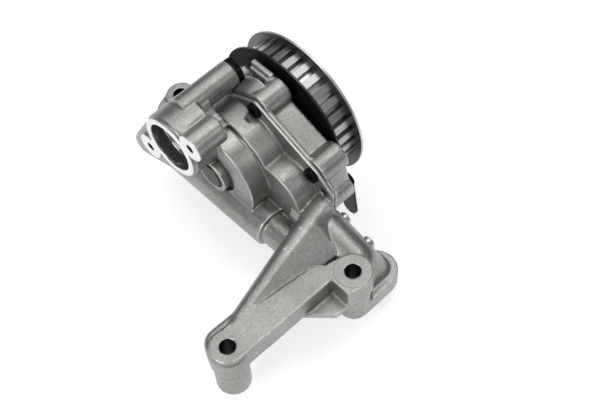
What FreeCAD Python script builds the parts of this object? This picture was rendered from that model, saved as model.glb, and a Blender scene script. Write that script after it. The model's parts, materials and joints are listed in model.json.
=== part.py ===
import FreeCAD, Part
import math
import os

import Sketcher

# Engine oil pump: a gerotor pump driven by a toothed belt wheel, on a cast bracket.
# Model axes: X along the drive shaft towards the belt wheel, Z up, millimetres.
# Places are given from the shaft axis, and every sub-part is then shifted so that the
# origin is the centre of mounting hole 1 on its foot.

doc = FreeCAD.newDocument("oil_pump")
sheet = doc.addObject("Spreadsheet::Sheet", "sizes")

SIZES = [
    # drive shaft
    ("shaft_radius", 8.0),
    ("shaft_rear_x", -69.8),
    ("nose_radius", 7.0),
    ("nose_front_x", -4.5),
    ("bolt_radius", 4.0),
    ("bolt_depth", 22.0),
    ("key_radius", 1.5),
    # bearing bushes
    ("bush_wall", 1.4),
    ("running_gap", 0.04),
    ("bush_inset", 0.8),
    ("boss_lip", 2.0),
    ("boss_lip_gap", 0.5),
    # planes along the shaft
    ("port_face_x", -82.3),
    ("machined_step", 2.4),
    ("boss_rear_x", -69.2),
    ("rear_face_x", -65.2),
    ("body_rear_x", -53.2),
    ("flange_rear_x", -39.0),
    ("joint_x", -37.0),
    ("lip_front_x", -34.6),
    ("cover_front_x", -20.0),
    # housing
    ("gallery_wall_radius", 28.7),
    ("body_radius", 32.0),
    ("lobe_y", -32.7),
    ("lobe_z", -1.8),
    ("lobe_radius", 19.2),
    ("shaft_boss_radius", 11.0),
    ("moat_radius", 13.6),
    ("moat_depth", 2.6),
    ("flange_radius", 34.0),
    ("face_margin", 0.3),
    ("face_width", 50.0),
    # port with its two screw ears
    ("port_y", 14.2),
    ("port_z", 24.5),
    ("port_bore_radius", 14.6),
    ("port_step_radius", 12.6),
    ("port_step_x", -74.0),
    ("port_floor_x", -64.0),
    ("port_tube_end_x", -61.0),
    ("port_rim_radius", 18.6),
    ("port_tube_radius", 19.5),
    ("ear_offset", 25.9),
    ("ear_angle", -42.4),
    ("ear_radius", 8.1),
    ("ear_hole_radius", 2.5),
    ("ear_hole_depth", 7.0),
    ("ear_length", 3.4),
    ("bulge_y", 6.5),
    ("bulge_z", 34.2),
    ("bulge_radius", 8.4),
    ("bulge_rear_x", -64.0),
    ("bulge_front_x", -54.0),
    ("ear_skirt_y", 46.0),
    ("ear_skirt_z", -6.8),
    ("ear_skirt_radius", 7.6),
    ("skirt_low_y", 14.0),
    ("skirt_low_z", 6.0),
    ("skirt_low_radius", 8.0),
    ("skirt_round", 3.5),
    ("ear_skirt_front_x", -62.0),
    # pressure relief valve
    ("valve_y", 18.95),
    ("valve_z", 38.0),
    ("valve_wall_radius", 7.8),
    ("valve_rear_x", -68.5),
    ("valve_bore_radius", 5.5),
    ("valve_front_x", -32.8),
    ("valve_floor_x", -57.0),
    ("piston_length", 9.0),
    ("piston_gap", 0.03),
    ("piston_wall", 1.2),
    ("piston_crown", 2.0),
    ("piston_rest_gap", 0.05),
    ("spring_wire", 1.0),
    ("spring_turns", 6.0),
    ("plug_head_length", 2.6),
    ("plug_thread_length", 6.0),
    ("plug_socket_radius", 2.6),
    ("seal_length", 1.0),
    ("valve_feed_radius", 3.5),
    # rotors
    ("rotor_length", 13.9),
    ("rotor_side_gap", 0.05),
    ("rotor_offset", 2.4),
    ("lobe_circle_radius", 19.5),
    ("rotor_lobe_radius", 6.0),
    ("rotor_mesh_gap", 0.08),
    ("rotor_root_radius", 18.5),
    ("outer_rotor_radius", 24.0),
    ("outer_rotor_gap", 0.08),
    ("kidney_radius", 6.0),
    ("outlet_y", 9.5),
    ("outlet_z", 15.5),
    ("inlet_y", 2.0),
    ("inlet_z", -18.0),
    # oil gallery tube across the back
    ("tube_x", -60.2),
    ("tube_z", -21.7),
    ("tube_radius", 11.9),
    ("tube_near_y", -37.5),
    ("tube_far_y", 38.0),
    ("tube_neck_radius", 9.5),
    ("tube_bore_radius", 6.5),
    ("tube_end_y", -62.0),
    ("tube_plug_depth", 5.0),
    # cover screws
    ("screw_radius", 3.0),
    ("screw_gap", 0.3),
    ("screw_head_radius", 4.4),
    ("screw_head_length", 2.0),
    ("screw_socket_radius", 2.3),
    ("screw_socket_depth", 1.4),
    ("screw_engagement", 13.0),
    ("screw_boss_radius", 8.0),
    ("flange_corner_radius", 5.5),
    ("screw_a_y", -6.8),
    ("screw_a_z", 35.2),
    ("screw_b_y", -48.0),
    ("screw_b_z", 17.2),
    ("screw_c_y", -52.0),
    ("screw_c_z", -5.5),
    ("screw_d_y", -18.0),
    ("screw_d_z", -41.0),
    ("screw_e_y", 20.0),
    ("screw_e_z", -39.0),
    ("low_corner_radius", 9.0),
    # dowels
    ("dowel_radius", 2.5),
    ("dowel_length", 4.8),
    ("dowel_inset", 0.2),
    ("dowel_room_radius", 3.3),
    ("dowel_room_length", 5.0),
    ("dowel_a_y", -55.8),
    ("dowel_a_z", 8.8),
    ("dowel_b_y", 29.0),
    ("dowel_b_z", -14.0),
    ("dowel_corner_radius", 6.5),
    # cover
    ("cover_wall_radius", 30.0),
    ("cover_crown_y", 4.0),
    ("cover_crown_z", 9.0),
    ("cover_crown_radius", 28.0),
    ("dome_y", 0.5),
    ("dome_z", 35.0),
    ("dome_radius", 9.0),
    ("dome_side_y", 16.0),
    ("dome_side_z", 24.5),
    ("dome_drop", 3.5),
    ("dome_front_x", -28.0),
    ("lug_y", 5.5),
    ("lug_width", 15.0),
    ("lug_base_z", 20.0),
    ("lug_top_z", 44.0),
    ("lug_length", 5.0),
    ("lug_step", 2.0),
    # belt wheel
    ("tooth_count", 32.0),
    ("tooth_pitch", 8.0),
    ("tooth_depth", 3.2),
    ("belt_pitch_offset", 0.686),
    ("wheel_rear_x", -14.0),
    ("wheel_width", 14.0),
    ("wheel_rim_radius", 33.0),
    ("wheel_web", 5.0),
    ("wheel_web_x", -11.0),
    ("wheel_hub_radius", 13.0),
    ("hub_rear_x", -18.8),
    ("belt_flange_radius", 45.5),
    ("belt_flange_sheet", 1.2),
    ("washer_radius", 12.0),
    ("washer_length", 3.0),
    ("bolt_head_flats", 13.0),
    ("bolt_head_length", 6.0),
    # mounting holes and arm
    ("foot_z", -36.8),
    ("hole_radius", 4.25),
    ("hole_a_x", -132.2),
    ("hole_a_y", -82.0),
    ("hole_b_x", -58.6),
    ("hole_b_y", -96.4),
    ("hole_c_x", -48.2),
    ("hole_c_y", 46.3),
    ("boss_a_radius", 9.3),
    ("boss_b_radius", 8.2),
    ("boss_c_radius", 8.4),
    ("boss_c_top_z", 10.0),
    ("arm_top_z", 0.5),
    ("arm_bottom_z", -13.5),
    ("arm_waist_x", -72.0),
    ("arm_waist_y", -86.0),
    ("arm_waist_radius", 6.3),
    ("shoulder_x", -131.5),
    ("shoulder_y", -77.2),
    ("shoulder_radius", 9.4),
    ("shoulder_end_radius", 10.6),
    ("shoulder_top_z", -1.0),
    ("shoulder_round", 3.0),
    ("shoulder_tail_x", -112.0),
    ("shoulder_tail_y", -74.5),
    ("seat_radius", 10.5),
    ("seat_corner_x", -68.2),
    ("seat_corner_y", -103.0),
    ("seat_back_y", -94.0),
    ("seat_top_y", -85.0),
    ("seat_corner_radius", 1.7),
    ("gusset_top_z", -12.0),
    ("gusset_sheet", 3.0),
    ("gusset_near_x", -68.0),
    ("gusset_near_y", -103.0),
    ("gusset_back_y", -90.0),
    ("gusset_far_x", -90.0),
    ("gusset_mid_x", -77.5),
    ("gusset_corner_radius", 1.0),
    ("web_shift_x", 9.0),
    ("web_root_x", -64.0),
    ("web_root_y", 20.0),
    ("web_width", 20.0),
    ("web_corner_radius", 3.0),
    ("web_bottom_z", -14.0),
    ("web_drop", 1.5),
    # rib that carries the arm
    ("rib_root_x", -40.0),
    ("rib_root_y", -58.0),
    ("rib_root_z", -2.0),
    ("rib_root_radius", 8.0),
    ("rib_root_foot_y", -66.0),
    ("rib_neck_x", -53.0),
    ("rib_neck_y", -60.5),
    ("rib_neck_radius", 8.0),
    ("rib_mid_x", -80.0),
    ("rib_mid_y", -66.0),
    ("rib_mid_radius", 7.0),
    ("rib_tip_x", -127.0),
    ("rib_tip_y", -76.0),
    ("rib_tip_radius", 5.5),
    ("rib_crest_z", -3.0),
    ("rib_tip_z", -6.0),
    ("rib_foot_y", -80.0),
    ("rib_foot_radius", 2.0),
    # suction duct and strainer flange
    ("duct_start_x", -44.5),
    ("duct_start_y", -46.0),
    ("duct_start_z", -7.5),
    ("duct_end_x", -47.3),
    ("duct_end_y", -88.0),
    ("duct_end_z", -12.3),
    ("duct_radius", 10.8),
    ("duct_wall", 3.5),
    ("duct_bottom_z", -28.0),
    ("duct_foot_x", -37.5),
    ("duct_foot_y", -92.8),
    ("duct_foot_radius", 7.2),
    ("duct_link_radius", 5.0),
    ("duct_link_y", -56.0),
    ("duct_link_z", -17.0),
    ("mouth_x", -43.5),
    ("mouth_y", -91.0),
    ("mouth_bore_radius", 6.0),
    ("mouth_bore_length", 21.8),
    ("mouth_flange_top_z", -27.0),
    ("mouth_corner_x", -38.3),
    ("mouth_corner_y", -93.0),
    ("mouth_corner_radius", 11.9),
    ("mouth_screw_x", -46.0),
    ("mouth_screw_y", -75.5),
    ("mouth_ear_radius", 7.0),
    ("mouth_screw_radius", 2.5),
    ("mouth_screw_depth", 10.0),
    ("corner_screw_x", -31.3),
    ("corner_screw_y", -92.0),
    ("corner_screw_depth", 8.0),
    ("duct_plug_radius", 3.6),
    ("duct_plug_x", -39.0),
    ("duct_plug_proud", 4.5),
    ("duct_plug_length", 8.5),
    ("duct_plug_a_y", -66.5),
    ("duct_plug_b_y", -86.0),
    ("duct_plug_z", -10.0),
    # belt guard tab
    ("tab_sheet", 1.5),
    ("tab_end_y", -56.5),
    ("tab_end_z", -31.0),
    ("tab_radius", 4.8),
]

for row, (alias, value) in enumerate(SIZES, start=1):
    sheet.set("A%d" % row, alias)
    sheet.set("B%d" % row, str(value))
    sheet.setAlias("B%d" % row, alias)
doc.recompute()
ALIASES = sorted((alias for alias, _ in SIZES), key=len, reverse=True)


def get(alias):
    return float(sheet.get(alias))


def linked(text):
    """The expression with each size name pointed at the spreadsheet."""
    words = []
    word = ""
    for letter in text + " ":
        if letter.isalnum() or letter == "_":
            word += letter
            continue
        words.append("sizes." + word if word in ALIASES else word)
        words.append(letter)
        word = ""
    return "".join(words).strip()


def bind(obj, prop, text):
    obj.setExpression(prop, linked(str(text)))


TURN = {
    "X": FreeCAD.Rotation(FreeCAD.Vector(0, 1, 0), 90),
    "Y": FreeCAD.Rotation(FreeCAD.Vector(1, 0, 0), -90),
    "Z": FreeCAD.Rotation(),
}


def cylinder(name, axis, radius, length, x, y, z):
    """A cylinder that starts at x, y, z and runs along +axis."""
    obj = doc.addObject("Part::Cylinder", name)
    obj.Placement = FreeCAD.Placement(FreeCAD.Vector(), TURN[axis])
    bind(obj, "Radius", radius)
    bind(obj, "Height", length)
    bind(obj, "Placement.Base.x", x)
    bind(obj, "Placement.Base.y", y)
    bind(obj, "Placement.Base.z", z)
    return obj


def block(name, x, y, z, length, width, height):
    obj = doc.addObject("Part::Box", name)
    bind(obj, "Length", length)
    bind(obj, "Width", width)
    bind(obj, "Height", height)
    bind(obj, "Placement.Base.x", x)
    bind(obj, "Placement.Base.y", y)
    bind(obj, "Placement.Base.z", z)
    return obj


def fuse(name, *pieces):
    obj = doc.addObject("Part::MultiFuse", name)
    obj.Shapes = list(pieces)
    obj.Refine = True
    return obj


def cut(name, base, *tools):
    tool = tools[0] if len(tools) == 1 else fuse(name + "_tools", *tools)
    obj = doc.addObject("Part::Cut", name)
    obj.Base = base
    obj.Tool = tool
    obj.Refine = True
    return obj


def feature(name, shape):
    """A shape that no primitive gives, set from values read from the sheet."""
    obj = doc.addObject("Part::Feature", name)
    obj.Shape = shape
    return obj


def origin_feature(body, role):
    return [item for item in body.Origin.OriginFeatures if item.Role == role][0]


def turned(name, profile, y="0", z="0"):
    """A body revolved about the X direction; profile holds (x, radius) expressions."""
    body = doc.addObject("PartDesign::Body", name)
    sketch = body.newObject("Sketcher::SketchObject", name + "_profile")
    sketch.AttachmentSupport = [(origin_feature(body, "XY_Plane"), "")]
    sketch.MapMode = "FlatFace"
    count = len(profile)
    for index in range(count):
        start = FreeCAD.Vector(index + 1, (index + 1) ** 2, 0)
        after = (index + 1) % count
        end = FreeCAD.Vector(after + 1, (after + 1) ** 2, 0)
        sketch.addGeometry(Part.LineSegment(start, end), False)
    for index in range(count):
        sketch.addConstraint(Sketcher.Constraint("Coincident", index, 2, (index + 1) % count, 1))
    for index, (along, radius) in enumerate(profile):
        for kind, text in (("DistanceX", along), ("DistanceY", radius)):
            if kind == "DistanceY" and radius == "0":
                sketch.addConstraint(Sketcher.Constraint("PointOnObject", index, 1, -1))
                continue
            number = sketch.addConstraint(Sketcher.Constraint(kind, -1, 1, index, 1, 1.0))
            bind(sketch, "Constraints[%d]" % number, text)
    revolution = body.newObject("PartDesign::Revolution", name + "_turned")
    revolution.Profile = sketch
    revolution.ReferenceAxis = (sketch, ["H_Axis"])
    revolution.Angle = 360.0
    body.Tip = revolution
    bind(body, "Placement.Base.y", y)
    bind(body, "Placement.Base.z", z)
    return body


def hull_wire(circles, lift):
    """The outline tangent to circles (a, b, radius), listed counterclockwise."""
    count = len(circles)
    tangents = []
    for index in range(count):
        a, b, radius = circles[index]
        c, d, other = circles[(index + 1) % count]
        gap = math.hypot(c - a, d - b)
        normal = math.atan2(d - b, c - a) - math.acos((radius - other) / gap)
        tangents.append(normal)
    edges = []
    for index in range(count):
        a, b, radius = circles[index]
        c, d, other = circles[(index + 1) % count]
        before = tangents[index - 1]
        after = tangents[index]
        sweep = (after - before) % (2 * math.pi)
        points = [lift(a + radius * math.cos(angle), b + radius * math.sin(angle))
                  for angle in (before, before + sweep / 2, after)]
        edges.append(Part.Arc(*points).toShape())
        end = lift(c + other * math.cos(after), d + other * math.sin(after))
        edges.append(Part.LineSegment(points[2], end).toShape())
    return Part.Wire(edges)


def hull_along_x(circles, start, end):
    wire = hull_wire(circles, lambda a, b: FreeCAD.Vector(start, a, b))
    return Part.Face(wire).extrude(FreeCAD.Vector(end - start, 0, 0))


def hull_along_z(circles, bottom, top):
    wire = hull_wire(circles, lambda a, b: FreeCAD.Vector(a, b, bottom))
    return Part.Face(wire).extrude(FreeCAD.Vector(0, 0, top - bottom))


def place(obj, label):
    """Names a sub-part and shifts it so that mounting hole 1 is the origin."""
    obj.Label = label
    bound = {path.lstrip("."): text for path, text in obj.ExpressionEngine}
    for axis, datum in (("x", "hole_a_x"), ("y", "hole_a_y"), ("z", "foot_z")):
        prop = "Placement.Base." + axis
        here = bound.get(prop, "%.6f" % getattr(obj.Placement.Base, axis))
        obj.setExpression(prop, "%s - sizes.%s" % (here, datum))
    return obj


# Outline shared by the housing flange and the cover lip
flange_circles = [
    (get("screw_e_y"), get("screw_e_z"), get("low_corner_radius")),
    (get("dowel_b_y"), get("dowel_b_z"), get("dowel_corner_radius") + 2.5),
    (0.0, 0.0, get("flange_radius")),
    (get("screw_a_y"), get("screw_a_z"), get("flange_corner_radius")),
    (get("screw_b_y"), get("screw_b_z"), get("flange_corner_radius")),
    (get("dowel_a_y"), get("dowel_a_z"), get("dowel_corner_radius")),
    (get("screw_c_y"), get("screw_c_z"), get("low_corner_radius")),
    (get("screw_d_y"), get("screw_d_z"), get("low_corner_radius")),
]

ear_dy = get("ear_offset") * math.cos(math.radians(get("ear_angle")))
ear_dz = get("ear_offset") * math.sin(math.radians(get("ear_angle")))
EARS = [
    ("port_y + ear_offset * cos(ear_angle * 1 deg)", "port_z + ear_offset * sin(ear_angle * 1 deg)"),
    ("port_y - ear_offset * cos(ear_angle * 1 deg)", "port_z - ear_offset * sin(ear_angle * 1 deg)"),
]

# Housing: rotor body, gallery wall, side lobe and shaft boss
rotor_body = cylinder("rotor_body", "X", "body_radius", "joint_x - body_rear_x", "body_rear_x", 0, 0)
gallery_wall = cylinder("gallery_wall", "X", "gallery_wall_radius", "body_rear_x - rear_face_x + 1",
                        "rear_face_x", 0, 0)
side_lobe = cylinder("side_lobe", "X", "lobe_radius", "joint_x - body_rear_x", "body_rear_x",
                     "lobe_y", "lobe_z")
shaft_boss = cylinder("shaft_boss", "X", "shaft_boss_radius", "rear_face_x - boss_rear_x + 5",
                      "boss_rear_x", 0, 0)
moat = cut("moat", cylinder("moat_outer", "X", "moat_radius", "moat_depth", "rear_face_x", 0, 0),
           cylinder("moat_inner", "X", "shaft_boss_radius", "moat_depth + 2", "rear_face_x - 1", 0, 0))
flange_plate = feature("flange_plate", hull_along_x(flange_circles, get("flange_rear_x"), get("joint_x")))

# Housing: port tube, machined ring, ears and the skirt behind the lower ear
port_tube = cylinder("port_tube", "X", "port_tube_radius", "port_tube_end_x - port_face_x - machined_step",
                     "port_face_x + machined_step", "port_y", "port_z")
port_rim = cylinder("port_rim", "X", "port_rim_radius", "machined_step + 1", "port_face_x",
                    "port_y", "port_z")
low_ear = cylinder("low_ear", "X", "ear_radius", "machined_step + 1", "port_face_x", *EARS[0])
high_ear = cylinder("high_ear", "X", "ear_radius", "ear_length", "port_face_x", *EARS[1])
ear_end = get("port_face_x") + get("ear_length")
bulge = feature("ear_bulge", Part.makeLoft([
    Part.Wire([Part.Circle(FreeCAD.Vector(x, y, z), FreeCAD.Vector(1, 0, 0), radius).toShape()])
    for x, y, z, radius in [
        (ear_end - 1, get("port_y") - ear_dy, get("port_z") - ear_dz, get("ear_radius") - 0.3),
        (get("bulge_rear_x") + 1, get("bulge_y"), get("bulge_z"), get("bulge_radius") - 0.3)]],
    True, True))
bulge_run = cylinder("bulge_run", "X", "bulge_radius", "bulge_front_x - bulge_rear_x", "bulge_rear_x",
                     "bulge_y", "bulge_z")
skirt_rear_x = get("port_face_x") + get("machined_step")
skirt_block = hull_along_x(
    [(get("port_y"), get("port_z"), get("port_tube_radius")),
     (get("skirt_low_y"), get("skirt_low_z"), get("skirt_low_radius")),
     (get("ear_skirt_y"), get("ear_skirt_z"), get("ear_skirt_radius"))],
    skirt_rear_x, get("ear_skirt_front_x"))
rear_edges = [edge for edge in skirt_block.Edges
              if edge.BoundBox.XMax < skirt_rear_x + get("machined_step") / 2]
skirt = feature("ear_skirt", skirt_block.makeFillet(get("skirt_round"), rear_edges))

# Housing: valve cylinder and gallery tube
valve_wall = cylinder("valve_wall", "X", "valve_wall_radius", "valve_front_x - valve_rear_x",
                      "valve_rear_x", "valve_y", "valve_z")
tube_wall = cylinder("tube_wall", "Y", "tube_radius", "tube_far_y - tube_near_y", "tube_x",
                     "tube_near_y", "tube_z")
tube_neck = cylinder("tube_neck", "Y", "tube_neck_radius", "tube_near_y - tube_end_y + 1", "tube_x",
                     "tube_end_y", "tube_z")

# Housing: rib from the rotor body to the arm, drawn through four stations
foot = get("rib_foot_radius")
foot_y = get("rib_foot_y")
crest_z = get("rib_crest_z")
stations = [
    (get("rib_root_x"), [(get("rib_root_y") + 5, -26.0, foot),
                         (get("rib_root_y"), get("rib_root_z"), get("rib_root_radius")),
                         (get("rib_root_foot_y"), -6.0, foot), (get("rib_root_foot_y"), -24.0, foot)]),
    (get("rib_neck_x"), [(get("rib_neck_y") + 4, -20.0, foot),
                         (get("rib_neck_y"), crest_z, get("rib_neck_radius")),
                         (foot_y, -6.0, foot), (foot_y, -19.0, foot)]),
    (get("rib_mid_x"), [(get("rib_mid_y") + 3, -12.0, foot), (get("rib_mid_y"), crest_z, get("rib_mid_radius")),
                        (foot_y, -4.0, foot), (foot_y, -11.5, foot)]),
    (get("rib_tip_x"), [(get("rib_tip_y") + 2, -11.0, foot), (get("rib_tip_y"), get("rib_tip_z"),
                                                             get("rib_tip_radius")),
                        (foot_y, -5.0, foot), (foot_y, -11.5, foot)]),
]
rib_wires = [hull_wire(circles, lambda a, b, x=x: FreeCAD.Vector(x, a, b)) for x, circles in stations]
rib = feature("rib", Part.makeLoft(rib_wires, True, True))

# Housing: mounting bosses, arm, seat and gusset
hole_a = (get("hole_a_x"), get("hole_a_y"))
hole_b = (get("hole_b_x"), get("hole_b_y"))
boss_a = cylinder("boss_a", "Z", "boss_a_radius", "arm_top_z - foot_z", "hole_a_x", "hole_a_y", "foot_z")
boss_b = doc.addObject("Part::Cone", "boss_b")
bind(boss_b, "Radius1", "boss_b_radius")
bind(boss_b, "Radius2", "seat_radius")
bind(boss_b, "Height", "arm_top_z - foot_z")
bind(boss_b, "Placement.Base.x", "hole_b_x")
bind(boss_b, "Placement.Base.y", "hole_b_y")
bind(boss_b, "Placement.Base.z", "foot_z")
boss_c = cylinder("boss_c", "Z", "boss_c_radius", "boss_c_top_z - foot_z", "hole_c_x", "hole_c_y", "foot_z")
waist = (get("arm_waist_x"), get("arm_waist_y"), get("arm_waist_radius"))
arm = feature("arm", hull_along_z([(hole_a[0], hole_a[1], get("boss_a_radius")), waist],
                                  get("arm_bottom_z"), get("arm_top_z")))
seat_corner = get("seat_corner_radius")
seat = feature("seat", hull_along_z(
    [(hole_b[0], hole_b[1], get("seat_radius")),
     (get("seat_corner_x"), get("seat_top_y"), seat_corner),
     (get("seat_corner_x") - 0.1, get("seat_back_y"), seat_corner),
     (get("seat_corner_x"), get("seat_corner_y"), seat_corner)],
    get("arm_bottom_z"), get("arm_top_z")))
shoulder_block = hull_along_z(
    [(hole_a[0], hole_a[1], get("shoulder_end_radius")),
     (get("shoulder_tail_x"), get("shoulder_tail_y") - 6, 6.0),
     (get("shoulder_tail_x"), get("shoulder_tail_y"), 6.0),
     (get("shoulder_x"), get("shoulder_y"), get("shoulder_radius"))],
    get("arm_bottom_z"), get("shoulder_top_z"))
top_edges = [edge for edge in shoulder_block.Edges if edge.BoundBox.ZMin > get("shoulder_top_z") - 0.1]
shoulder = feature("shoulder", shoulder_block.makeFillet(get("shoulder_round"), top_edges))
corner = get("gusset_corner_radius")
gusset = feature("gusset", hull_along_z(
    [(get("gusset_near_x"), get("gusset_near_y"), corner),
     (get("gusset_near_x") - 2, get("gusset_back_y"), corner),
     (get("gusset_far_x"), get("gusset_back_y"), corner),
     (get("gusset_mid_x"), get("gusset_near_y"), corner)],
    get("gusset_top_z") - get("gusset_sheet"), get("gusset_top_z")))
ear_web = feature("ear_web", hull_along_z(
    [(get("hole_c_x"), get("hole_c_y"), get("boss_c_radius")),
     (get("hole_c_x") - get("web_shift_x"), get("hole_c_y") - 3.0, get("boss_c_radius")),
     (get("web_root_x"), get("web_root_y"), get("web_corner_radius")),
     (get("web_root_x") + get("web_width"), get("web_root_y"), get("web_corner_radius"))],
    get("web_bottom_z"), get("boss_c_top_z") - get("web_drop")))

# Housing: suction duct that ends in the strainer flange on the foot plane
duct_start = FreeCAD.Vector(get("duct_start_x"), get("duct_start_y"), get("duct_start_z"))
duct_end = FreeCAD.Vector(get("duct_end_x"), get("duct_end_y"), get("duct_end_z"))
duct_run = duct_end - duct_start
duct_radius = get("duct_radius")
duct = feature("duct", Part.makeCylinder(duct_radius, duct_run.Length, duct_start, duct_run))
duct_nose = feature("duct_nose", Part.makeSphere(duct_radius, duct_end))
foot_wire = hull_wire(
    [(get("duct_foot_x"), get("duct_foot_y"), get("duct_foot_radius")),
     (get("duct_foot_x") - 2, get("duct_start_y") - 6, get("duct_foot_radius")),
     (get("duct_end_x") - 3, get("duct_start_y") - 6, get("duct_foot_radius")),
     (get("duct_end_x") - 3, get("duct_foot_y"), get("duct_foot_radius"))],
    lambda a, b: FreeCAD.Vector(a, b, get("duct_bottom_z")))
crown_wire = hull_wire(
    [(get("duct_end_x") + 0.4, get("duct_end_y"), duct_radius - 0.6),
     (get("duct_start_x"), get("duct_start_y") - 4, duct_radius - 0.6),
     (get("duct_start_x") - 0.4, get("duct_start_y") - 4, duct_radius - 0.6),
     (get("duct_end_x"), get("duct_end_y"), duct_radius - 0.6)],
    lambda a, b: FreeCAD.Vector(a, b, get("duct_end_z") + 2))
duct_body = feature("duct_body", Part.makeLoft([foot_wire, crown_wire], True, True))
mouth_flange = feature("mouth_flange", hull_along_z(
    [(get("mouth_corner_x"), get("mouth_corner_y"), get("mouth_corner_radius")),
     (get("mouth_screw_x"), get("mouth_screw_y"), get("mouth_ear_radius")),
     (hole_b[0], hole_b[1], get("boss_b_radius") + 0.2)], get("foot_z"), get("mouth_flange_top_z")))

screw_c_boss = cylinder("screw_c_boss", "X", "screw_boss_radius - 1", "screw_engagement + 3",
                        "joint_x - screw_engagement - 3", "screw_c_y", "screw_c_z")

casting = fuse("casting", screw_c_boss, rotor_body, gallery_wall, side_lobe, flange_plate, port_tube,
               port_rim, low_ear, high_ear, bulge, bulge_run, skirt, valve_wall, tube_wall,
               tube_neck, rib, boss_a, boss_b, boss_c, arm, shoulder, seat, gusset, ear_web, duct,
               duct_nose, duct_body, mouth_flange, shaft_boss)
with_moat = cut("with_moat", casting, moat)

# Housing: bores and passages
SCREWS = [("screw_a_y", "screw_a_z"), ("screw_b_y", "screw_b_z"), ("screw_c_y", "screw_c_z"),
          ("screw_d_y", "screw_d_z"), ("screw_e_y", "screw_e_z")]
bores = [
    cylinder("bush_bore", "X", "shaft_radius + running_gap + bush_wall", "joint_x - boss_rear_x",
             "boss_rear_x + boss_lip", 0, 0),
    cylinder("lip_bore", "X", "shaft_radius + boss_lip_gap", "boss_lip + 2", "boss_rear_x - 1", 0, 0),
    cylinder("rotor_bore", "X", "outer_rotor_radius + outer_rotor_gap", "rotor_length + 2 * rotor_side_gap + 1",
             "joint_x - rotor_length - 2 * rotor_side_gap", "-rotor_offset", 0),
    cylinder("port_bore", "X", "port_bore_radius", "port_step_x - port_face_x + 1", "port_face_x - 1",
             "port_y", "port_z"),
    cylinder("port_inner_bore", "X", "port_step_radius", "port_floor_x - port_step_x + 1",
             "port_step_x - 1", "port_y", "port_z"),
    cylinder("outlet_passage", "X", "kidney_radius", "joint_x - port_floor_x - rotor_length + 3",
             "port_floor_x - 2", "outlet_y", "outlet_z"),
    cylinder("inlet_passage", "X", "kidney_radius", "joint_x - rotor_length - tube_x + 1", "tube_x",
             "inlet_y", "inlet_z"),
    cylinder("tube_bore", "Y", "tube_bore_radius", "tube_far_y - tube_end_y + 1", "tube_x",
             "tube_end_y", "tube_z"),
    cylinder("duct_link", "X", "duct_link_radius", "duct_end_x - tube_x + 2", "tube_x",
             "duct_link_y", "duct_link_z"),
    feature("duct_hollow", Part.makeCylinder(
        duct_radius - get("duct_wall"), duct_run.Length - get("duct_wall"),
        duct_start + duct_run * (get("duct_wall") / duct_run.Length), duct_run)),
    feature("duct_turn", Part.makeSphere(duct_radius - get("duct_wall"), duct_end)),
    block("joint_face_cut", "joint_x", "dowel_a_y - dowel_corner_radius - face_margin", "foot_z",
          "cover_front_x - joint_x", "face_width", "face_width"),
    cylinder("mouth_bore", "Z", "mouth_bore_radius", "mouth_bore_length + 1", "mouth_x", "mouth_y",
             "foot_z - 1"),
    cylinder("valve_bore", "X", "valve_bore_radius", "valve_front_x - valve_floor_x + 1",
             "valve_floor_x", "valve_y", "valve_z"),
    cylinder("valve_feed", "X", "valve_feed_radius", "valve_floor_x - port_floor_x + 3",
             "port_floor_x - 2", "valve_y", "valve_z"),
    cylinder("mount_bore_a", "Z", "hole_radius", "arm_top_z - foot_z + 2", "hole_a_x", "hole_a_y",
             "foot_z - 1"),
    cylinder("mount_bore_b", "Z", "hole_radius", "arm_top_z - foot_z + 2", "hole_b_x", "hole_b_y",
             "foot_z - 1"),
    cylinder("mount_bore_c", "Z", "hole_radius", "boss_c_top_z - foot_z + 2", "hole_c_x", "hole_c_y",
             "foot_z - 1"),
]
for index, (y, z) in enumerate(EARS, start=1):
    bores.append(cylinder("ear_hole_%d" % index, "X", "ear_hole_radius", "ear_hole_depth + 1",
                          "port_face_x - 1", y, z))
bores.append(cylinder("mouth_hole_1", "Z", "mouth_screw_radius", "mouth_screw_depth + 1",
                      "mouth_screw_x", "mouth_screw_y", "foot_z - 1"))
bores.append(cylinder("mouth_hole_2", "Z", "mouth_screw_radius", "corner_screw_depth + 1",
                      "corner_screw_x", "corner_screw_y", "foot_z - 1"))
bores.append(cylinder("dowel_room", "X", "dowel_room_radius", "dowel_room_length",
                      "flange_rear_x - dowel_room_length", "dowel_a_y", "dowel_a_z"))
for index, (y, z) in enumerate(SCREWS, start=1):
    if index == 3:
        bores.append(cylinder("housing_thread_3", "X", "screw_radius", "screw_engagement + 1",
                              "joint_x - screw_engagement", y, z))
        continue
    bores.append(cylinder("housing_screw_hole_%d" % index, "X", "screw_radius + screw_gap",
                          "joint_x - flange_rear_x + 2", "flange_rear_x - 1", y, z))
    bores.append(cylinder("screw_head_room_%d" % index, "X", "screw_head_radius + screw_gap",
                          "screw_head_length + 4", "flange_rear_x - screw_head_length - 4", y, z))
for index, (y, z) in enumerate([("dowel_a_y", "dowel_a_z"), ("dowel_b_y", "dowel_b_z")], start=1):
    bores.append(cylinder("housing_dowel_hole_%d" % index, "X", "dowel_radius",
                          "joint_x - flange_rear_x + 2", "flange_rear_x - 1", y, z))
for index, y in enumerate(("duct_plug_a_y", "duct_plug_b_y"), start=1):
    bores.append(cylinder("duct_plug_hole_%d" % index, "X", "duct_plug_radius",
                          "duct_plug_length - duct_plug_proud + 4", "duct_plug_x - 0.5", y, "duct_plug_z"))
housing = place(cut("housing", with_moat, *bores), "pump_housing")

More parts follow.
